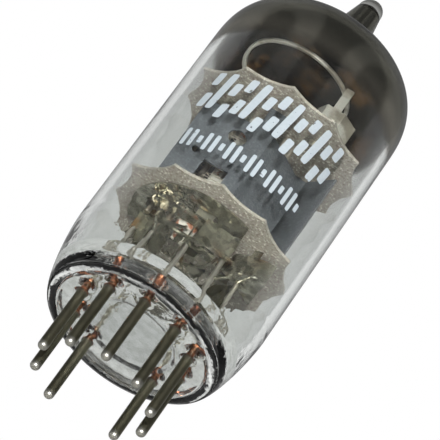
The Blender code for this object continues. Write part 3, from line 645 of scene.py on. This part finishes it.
# Getter flash: a film of metal that was boiled off the ring and settled inside the dome. It is
# a dark mirror that thins out to brown and then to nothing down the wall.
FLASH_INSET = -0.03
FLASH_THICK = 0.012
FLASH_LOW = 37.5
FLASH_WALL_ROWS = 14
FLASH_STEPS = 128


def flash_profile(inset):
    """The inner wall's section from below the dome up to the exhaust tip, moved inwards."""
    turn = np.linspace(math.pi / 2, 0.1, 40)
    dome_r, dome_z = dome_profile(BULB_INNER - inset, DOME_INNER_HEIGHT - inset, turn)
    keep = dome_r > HOLLOW_FOOT
    wall_r = np.full(FLASH_WALL_ROWS, BULB_INNER - inset)
    wall_z = np.linspace(FLASH_LOW, CYLINDER_TOP - 0.3, FLASH_WALL_ROWS)
    tip_r, tip_z = hollow_profile(inset)
    radii = np.concatenate([wall_r, dome_r[keep], tip_r])
    return radii, np.concatenate([wall_z, dome_z[keep], tip_z - inset])


def flash_colours(place):
    """Dark mirror from outside, brown with paler clouds from inside, fading out below.

    The outer skin is where the normal points away from a place inside the dome: the
    dot product of the normal and the way from there is then above zero.
    """
    cloud = place.noise(160.0, 3.0)
    level = place.axis("Z") + (cloud - 0.5) * 0.0024
    cover = level.step(0.0385, 0.0406)
    thick = level.step(0.0396, 0.0425)
    normal = place.node("NewGeometry", out="Normal")
    inside_dome = (0.0, 0.0, 0.034)
    away = place.node("VectorMath", {"operation": "SUBTRACT"}, {0: place, 1: inside_dome})
    facing = away.node("VectorMath", {"operation": "DOT_PRODUCT"}, {0: away, 1: normal}, "Value")
    outer = facing.step(-0.0005, 0.0005)
    mirror = thick.blend((0.20, 0.185, 0.155), (0.10, 0.096, 0.08))
    brown = thick.blend((0.12, 0.075, 0.032), (0.034, 0.021, 0.008))
    brown = place.noise(240.0, 4.0).step(0.50, 0.64).blend(brown, (0.30, 0.155, 0.05))
    streak = place.noise(900.0, 4.0, (1.0, 1.0, 0.35)).step(0.52, 0.72)
    brown = (streak * (1 - level.step(0.0405, 0.0455))).blend(brown, (0.24, 0.13, 0.05))
    return {"Base Color": outer.blend(brown, mirror), "Alpha": cover,
            "Roughness": 0.02 + cloud * 0.03 + outer * 0.08,
            "Metallic": 0.86 + outer * 0.14, "Bump": (0.25, 0.0002, cloud)}


outer_r, outer_z = flash_profile(FLASH_INSET)
inner_r, inner_z = flash_profile(FLASH_INSET + FLASH_THICK)
film_r = np.concatenate([outer_r, inner_r[::-1]])
film_z = np.concatenate([outer_z, inner_z[::-1]])
flash_finish = new_finish("getter film", {}, flash_colours)
film = lathe(film_r, film_z, FLASH_STEPS)
flash = new_piece("getter_flash", film, flash_finish, closed_rows=True, sharp=60.0)
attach(flash, "root")


# Print: two rows of plain marks in bluish white enamel, stamped on the bulb and baked. The
# upper row is bold, and both are rubbed thin in places.
PRINT_RADIUS = 10.286
PRINT_THICK = 0.012
MARK_GRID = 14
MARK_POINTS = 48
MARK_POWER = 0.35
BOLD_COUNT = 13
BOLD_FIRST = -128.0
BOLD_PITCH = 6.6
BOLD_WIDTH = 0.78
BOLD_LEAN = 0.12
BOLD_WHOLE = (29.8, 4.9)
BOLD_HALVES = ((31.3, 1.7), (28.4, 1.9))
BOLD_DROP = 0.5
FINE_COUNT = 18
FINE_FIRST = -123.0
FINE_PITCH = 4.2
FINE_WIDTH = 0.42
FINE_HEIGHT = 23.4
FINE_TALL = 2.2
FINE_SHORT = 0.9


def wrapped_mark(outline):
    """A closed outline of (azimuth in degrees, height) wrapped on the bulb as a thin solid.

    The grid scales the outline about its middle from nearly nothing to its full size,
    on the outer skin and then back on the inner one.
    """
    middle = (outline.max(axis=0) + outline.min(axis=0)) / 2
    share = np.linspace(0.02, 1.0, MARK_GRID)
    share = np.concatenate([share, share[::-1]])[:, None, None]
    flat = middle + (outline - middle)[None] * share
    outside = np.arange(2 * MARK_GRID) < MARK_GRID
    radius = np.where(outside, PRINT_RADIUS + PRINT_THICK, PRINT_RADIUS)[:, None]
    turn = np.radians(flat[..., 0])
    return np.stack([radius * np.cos(turn), radius * np.sin(turn), flat[..., 1]], axis=-1)


def rounded_bar(azimuth, height, width, tall, lean=0.0):
    """Superellipse outline; azimuth is in degrees, the other sizes in millimetres.

    Each coordinate is half its size times the cosine or sine to a small power, with its
    sign kept. lean moves a point sideways in proportion to its height.
    """
    turn = np.linspace(0.0, math.tau, MARK_POINTS, endpoint=False)
    x = np.sign(np.cos(turn)) * np.abs(np.cos(turn)) ** MARK_POWER * width / 2
    y = np.sign(np.sin(turn)) * np.abs(np.sin(turn)) ** MARK_POWER * tall / 2
    return np.stack([azimuth + np.degrees((x + y * lean) / BULB_RADIUS), height + y], axis=-1)


def print_rows():
    """Outlines of the bold row, a third of them whole and the rest split, and the fine row."""
    marks = []
    for k in range(BOLD_COUNT):
        azimuth = BOLD_FIRST + BOLD_PITCH * k
        parts = [BOLD_WHOLE]
        if k % 3 != 1:
            parts = [(height - BOLD_DROP * (k % 3), tall) for height, tall in BOLD_HALVES]
        marks += [rounded_bar(azimuth, height, BOLD_WIDTH, tall, BOLD_LEAN) for height, tall in parts]
    for k in range(FINE_COUNT):
        azimuth = FINE_FIRST + FINE_PITCH * k
        tall = FINE_SHORT if k % 3 == 2 else FINE_TALL
        marks.append(rounded_bar(azimuth, FINE_HEIGHT, FINE_WIDTH, tall))
    return marks


def print_colours(place):
    grain = place.noise(3600.0, 4.0)
    rub = place.noise(700.0, 3.0)
    tone = grain.blend((0.31, 0.355, 0.38), (0.40, 0.445, 0.47))
    worn = 1 - (rub * 0.6 + grain * 0.4).step(0.60, 0.68)
    return {"Base Color": tone, "Alpha": worn, "Bump": (0.3, 0.00001, grain)}


print_finish = new_finish("white enamel", {"Roughness": 0.55}, print_colours)
for number, outline in enumerate(print_rows(), 1):
    points = wrapped_mark(outline)
    mark = new_piece(f"print_mark_{number}", points, print_finish, (0, -1), sharp=50.0)
    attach(mark, "root")


# Studio: a white floor that only shows from above, soft lamps, and a small lamp by the camera,
# which looks up at the standing tube from its pin side. Places are in metres.
FLOOR_RADIUS = 3.0
FLOOR_SIDES = 96
FLOOR_SHOWN = 0.62
FLOOR_SHADOW_GLOW = 0.22
FLOOR_FAR_GLOW = 0.33
FLOOR_SOFTENED = 0.7
CAMERA_LENS = 278.892
CAMERA_SENSOR = 36.0
CAMERA_PLACE = (0.0305616, -0.2597498, -0.1576560)
CAMERA_TURN = (130.4689, -28.6884, -15.6619)
LAMP_TARGET = (0.0, 0.0, 0.028)
ROOM_DARK = 0.06
ROOM_BEHIND = 0.55
ROOM_ABOVE = 0.25
ROOM_PANES = 0.30
ROOM_OUTSIDE = 0.26
VIEW_LOW = 0.38
WORLD_SOFT = 0.07


def bounced(tree, kind):
    """1 for a ray that has left a surface of this kind, 0 otherwise."""
    return source(tree, "LightPath", kind + " Depth").step(0.2, 0.8)


def one_sided_floor():
    """Floor that is white from above, keeps shadows, and lets light and views up through it.

    Its glow rises with the distance from the tube: to white for the camera, and from a dim middle
    for other rays, which is a painted shadow round the tube's foot; it is less after a matt bounce.
    """
    made = bpy.data.materials.new("studio floor")
    made.use_nodes = True
    tree = made.node_tree
    tree.nodes.remove(tree.nodes["Principled BSDF"])
    shadow = source(tree, "LightPath", "Is Shadow Ray")
    seen = source(tree, "LightPath", "Is Camera Ray")
    place = source(tree, "TexCoord", "Object")
    distance = place.node("VectorMath", {"operation": "LENGTH"}, {0: place}, "Value")
    shown = FLOOR_SHOWN + distance.step(0.08, 0.70) * (1 - FLOOR_SHOWN)
    # Painted shadow: rays other than the camera's see the floor dimmed round the tube's foot.
    lighting = FLOOR_SHADOW_GLOW + distance.step(0.02, 0.08) * FLOOR_FAR_GLOW
    lighting = lighting * (1 - bounced(tree, "Diffuse") * FLOOR_SOFTENED)
    glow = shadow.node("Emission", None, {"Strength": seen * shown + (1 - seen) * lighting})
    matt = shadow.node("BsdfDiffuse", None, {"Color": (0.5, 0.5, 0.5, 1.0)})
    lit = shadow.node("AddShader", None, {0: matt, 1: glow})
    clear = shadow.node("BsdfTransparent")
    under = shadow.node("NewGeometry", out="Backfacing")
    through = shadow.maths("MAXIMUM", shadow, under)
    mix = shadow.node("MixShader", None, {0: through, 1: lit, 2: clear})
    tree.links.new(mix.socket, tree.nodes["Material Output"].inputs["Surface"])
    return made


turn = np.linspace(0.0, math.tau, FLOOR_SIDES, endpoint=False)
disc = FLOOR_RADIUS * np.stack([np.cos(turn), np.sin(turn), np.zeros(FLOOR_SIDES)], axis=-1)
floor_mesh = bpy.data.meshes.new("studio_floor")
floor_mesh.from_pydata(disc.tolist(), [], [list(range(FLOOR_SIDES))])
floor_mesh.materials.append(one_sided_floor())
floor = bpy.data.objects.new("studio_floor", floor_mesh)
bpy.context.collection.objects.link(floor)

camera_data = bpy.data.cameras.new("camera")
camera_data.lens = CAMERA_LENS
camera_data.sensor_width = CAMERA_SENSOR
camera_data.clip_start = 0.01
camera_data.clip_end = 20.0
camera = bpy.data.objects.new("camera", camera_data)
camera_turn = Euler([math.radians(angle) for angle in CAMERA_TURN])
camera.matrix_world = Matrix.LocRotScale(Vector(CAMERA_PLACE), camera_turn, None)
bpy.context.collection.objects.link(camera)
bpy.context.scene.camera = camera


def lamp(name, power, size, location):
    """A square area lamp that faces the tube."""
    data = bpy.data.lights.new(name, "AREA")
    data.energy = power
    data.size = size
    thing = bpy.data.objects.new(name, data)
    thing.location = location
    aim = Vector(location) - Vector(LAMP_TARGET)
    thing.rotation_euler = aim.to_track_quat("Z", "Y").to_euler()
    thing.visible_transmission = False
    bpy.context.collection.objects.link(thing)
    return thing


lamp("key", power=1.8, size=0.010, location=(0.0259, -0.3022, -0.0976))
lamp("top", power=0.8, size=0.40, location=(-0.20, -0.10, 0.60)).visible_glossy = False
lamp("back", power=0.5, size=0.40, location=(0.20, 0.35, 0.50)).visible_glossy = False


def studio_world():
    """White surroundings for the camera, and a dim room with two panes for mirrors.

    A matt bounce sees the soft strength. A mirror sees the room, brighter behind, above
    and at the panes, and fainter outside the glass than through it. All else sees white,
    shaded towards the camera's side where it comes through the glass.
    """
    made = bpy.data.worlds.new("studio")
    made.use_nodes = True
    tree = made.node_tree
    soft = bounced(tree, "Diffuse")
    mirrored = bounced(tree, "Glossy")
    through = source(tree, "LightPath", "Is Transmission Ray")
    direction = source(tree, "TexCoord", "Generated")
    behind = direction.axis("Y")
    side = direction.axis("X")
    panes = side.step(-0.62, -0.55) * (1 - side.step(-0.30, -0.24))
    panes = panes + side.step(0.22, 0.28) * (1 - side.step(0.50, 0.56))
    room = ROOM_DARK + behind.step(-0.08, 0.10) * ROOM_BEHIND
    room = room + direction.axis("Z").step(0.30, 0.36) * ROOM_ABOVE + panes * ROOM_PANES
    room = room * (ROOM_OUTSIDE + through * (1 - ROOM_OUTSIDE))
    shade = VIEW_LOW + behind.step(-0.3, 0.25) * (1 - VIEW_LOW)
    view = (1 - through) + through * shade
    strength = (1 - soft) * ((1 - mirrored) * view + mirrored * room) + soft * WORLD_SOFT
    background = tree.nodes["Background"]
    tree.links.new(strength.socket, background.inputs["Strength"])
    background.inputs["Color"].default_value = (1.0, 1.0, 1.0, 1.0)
    return made


bpy.context.scene.world = studio_world()
bpy.context.scene.view_settings.view_transform = "Standard"
